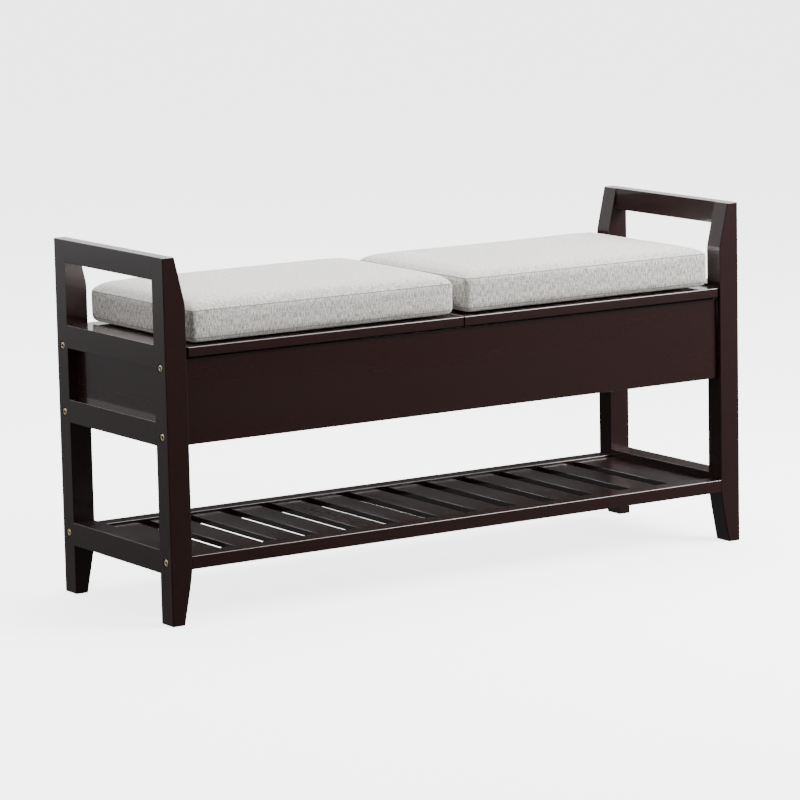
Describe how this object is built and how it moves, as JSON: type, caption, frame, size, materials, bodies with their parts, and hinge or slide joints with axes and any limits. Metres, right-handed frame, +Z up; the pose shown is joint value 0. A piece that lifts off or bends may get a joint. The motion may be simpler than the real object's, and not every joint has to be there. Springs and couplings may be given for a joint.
{
  "type": "storage bench",
  "caption": "Hallway storage bench: two cushioned lift-up lids over a divided box, between two open end frames with arms, above a slatted shoe shelf.",
  "frame": {"origin": "on the floor, under the middle of the bench", "axes": "+X to the right along the length, -Y is the front, +Z up"},
  "size_m": [1.1, 0.35, 0.574],
  "materials": {
    "lacquered_wood": "high-gloss espresso lacquer",
    "dark_board": "satin dark board",
    "beech": "bare turned beech",
    "antique_brass": "antique brass plate",
    "zinc_steel": "zinc-plated steel",
    "linen": "slubbed woven linen over foam",
    "hook_and_loop": "black hook-and-loop tape",
    "bumper_rubber": "soft black rubber"
  },
  "bodies": {
    "frame": {"left_front_post": "lacquered_wood", "left_rear_post": "lacquered_wood", "right_front_post": "lacquered_wood", "right_rear_post": "lacquered_wood", "left_arm_rail": "lacquered_wood", "right_arm_rail": "lacquered_wood", "left_seat_rail": "lacquered_wood", "right_seat_rail": "lacquered_wood", "left_box_rail": "lacquered_wood", "right_box_rail": "lacquered_wood", "left_shelf_end_rail": "lacquered_wood", "right_shelf_end_rail": "lacquered_wood", "left_end_panel": "lacquered_wood", "right_end_panel": "lacquered_wood", "front_panel": "lacquered_wood", "rear_panel": "lacquered_wood", "shelf_front_rail": "lacquered_wood", "shelf_rear_rail": "lacquered_wood", "slat_01": "lacquered_wood", "slat_02": "lacquered_wood", "slat_03": "lacquered_wood", "slat_04": "lacquered_wood", "slat_05": "lacquered_wood", "slat_06": "lacquered_wood", "slat_07": "lacquered_wood", "slat_08": "lacquered_wood", "slat_09": "lacquered_wood", "slat_10": "lacquered_wood", "slat_11": "lacquered_wood", "slat_12": "lacquered_wood", "slat_13": "lacquered_wood", "bottom_panel": "dark_board", "centre_divider": "dark_board", "frame_bolts": "antique_brass", "barrel_nuts": "zinc_steel", "dowels": "beech", "divider_screws": "zinc_steel", "lid_bumpers": "bumper_rubber", "stay_studs": "zinc_steel", "left_hinge_frame_leaves": "antique_brass", "right_hinge_frame_leaves": "antique_brass", "left_hinge_pins": "antique_brass", "right_hinge_pins": "antique_brass", "hinge_frame_screws": "antique_brass"},
    "left_lid": {"left_lid": "lacquered_wood", "left_cushion": "linen", "left_cushion_pads": "hook_and_loop", "left_hinge_lid_leaves": "antique_brass", "left_lid_screws": "antique_brass", "left_stay_bracket": "zinc_steel"},
    "right_lid": {"right_lid": "lacquered_wood", "right_cushion": "linen", "right_cushion_pads": "hook_and_loop", "right_hinge_lid_leaves": "antique_brass", "right_lid_screws": "antique_brass", "right_stay_bracket": "zinc_steel"},
    "left_stay_arm": {"left_stay_arm": "zinc_steel"},
    "right_stay_arm": {"right_stay_arm": "zinc_steel"}
  },
  "joints": [
    {"name": "left_lid_hinge", "type": "hinge", "parent": "frame", "child": "left_lid", "pos_m": [-0.25, 0.1701, 0.4132], "axis": [-1, 0, 0], "range_deg": [0, 88]},
    {"name": "right_lid_hinge", "type": "hinge", "parent": "frame", "child": "right_lid", "pos_m": [0.25, 0.1701, 0.4132], "axis": [-1, 0, 0], "range_deg": [0, 88]},
    {"name": "left_stay_pivot", "type": "hinge", "parent": "left_lid", "child": "left_stay_arm", "pos_m": [-0.508, 0.10257, 0.4052], "axis": [1, 0, 0], "range_deg": [0, 44]},
    {"name": "right_stay_pivot", "type": "hinge", "parent": "right_lid", "child": "right_stay_arm", "pos_m": [0.508, 0.10257, 0.4052], "axis": [1, 0, 0], "range_deg": [0, 44]}
  ],
  "couplings": [
    {"joint": "left_stay_pivot", "follows": "left_lid_hinge", "ratio": 0.5},
    {"joint": "right_stay_pivot", "follows": "right_lid_hinge", "ratio": 0.5}
  ]
}
